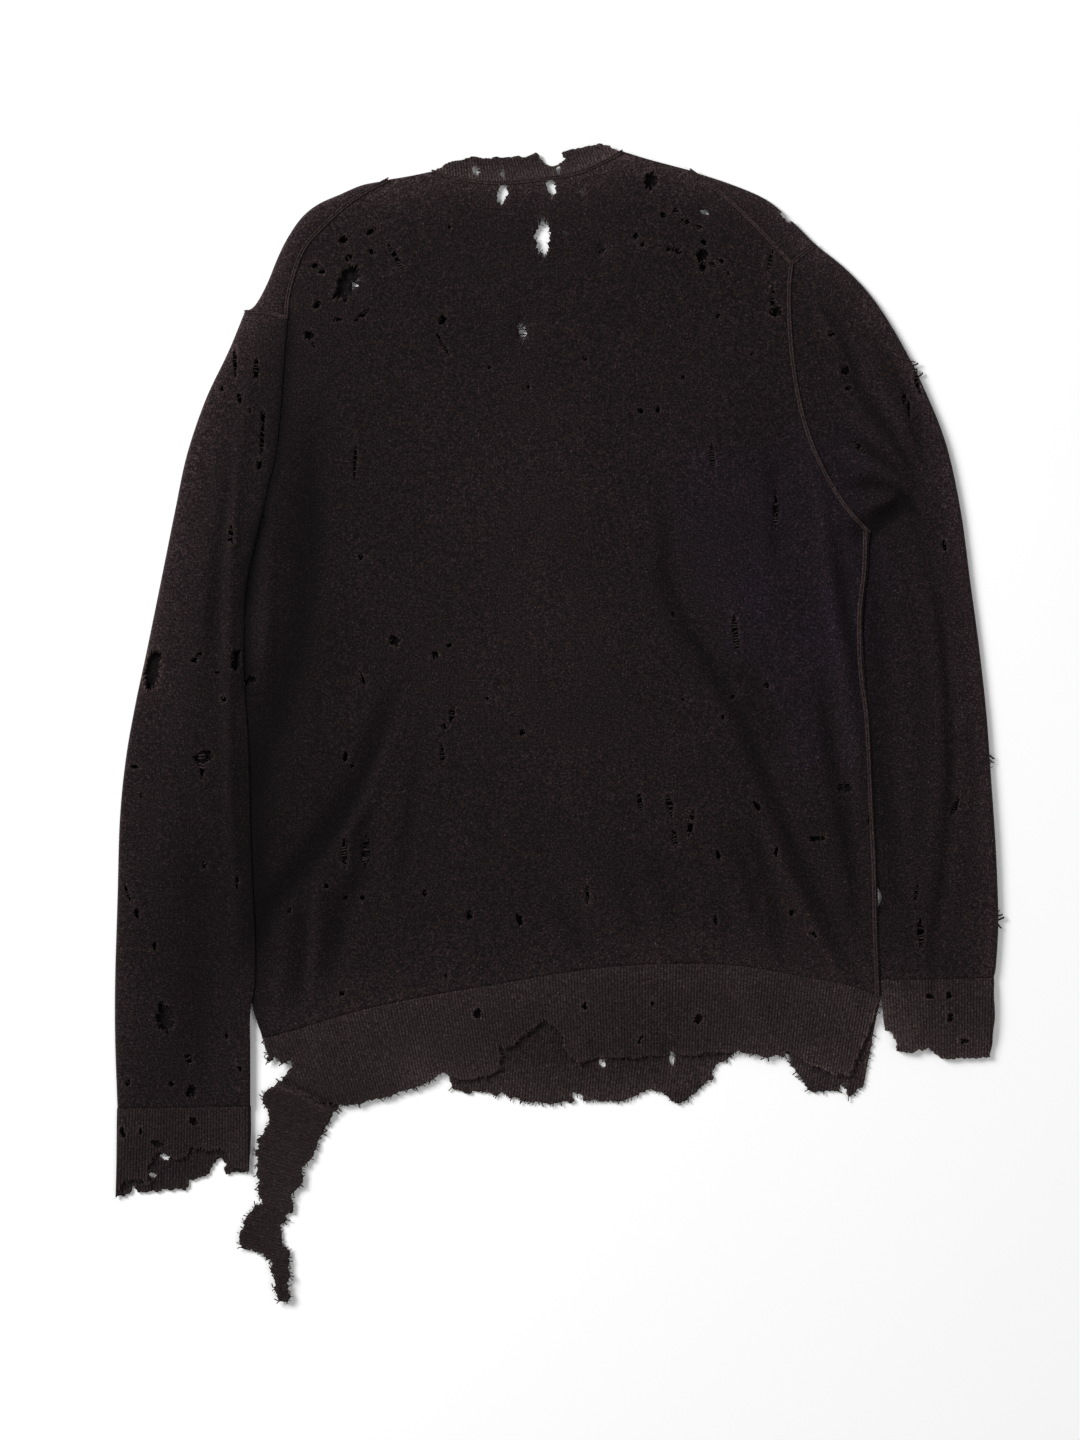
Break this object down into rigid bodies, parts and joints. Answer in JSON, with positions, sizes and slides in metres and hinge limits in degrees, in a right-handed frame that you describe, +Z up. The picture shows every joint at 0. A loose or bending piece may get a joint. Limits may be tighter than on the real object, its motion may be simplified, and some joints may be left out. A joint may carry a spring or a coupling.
{
  "type": "torn wool sweater laid flat",
  "caption": "Long-sleeved fine-knit wool crew-neck sweater lying flat on its front, back upwards, with open holes, ladders and a torn hem, neckband and cuffs.",
  "frame": {"origin": "on the surface that the sweater lies on, under the middle of its whole outline", "axes": "+Y from the hem towards the neck, +X towards the sweater's right sleeve as it lies on its front, +Z up out of its back"},
  "size_m": [0.7502, 0.983, 0.007],
  "materials": {
    "jersey": "fine plain wool jersey, faded brown-black",
    "rib": "one-by-one wool rib, faded brown-black",
    "linking": "linked wool seam standing proud, worn lighter"
  },
  "bodies": {
    "root": {"back_panel": "jersey", "front_panel": "jersey", "left_sleeve": "jersey", "right_sleeve": "jersey", "back_hem_rib": "rib", "front_hem_rib": "rib", "torn_hem_strip": "rib", "left_cuff_rib": "rib", "right_cuff_rib": "rib", "neckband_rib": "rib", "neck_seam": "linking", "left_shoulder_seam": "linking", "right_shoulder_seam": "linking", "left_armhole_seam": "linking", "right_armhole_seam": "linking", "right_side_seam": "linking"}
  },
  "joints": []
}
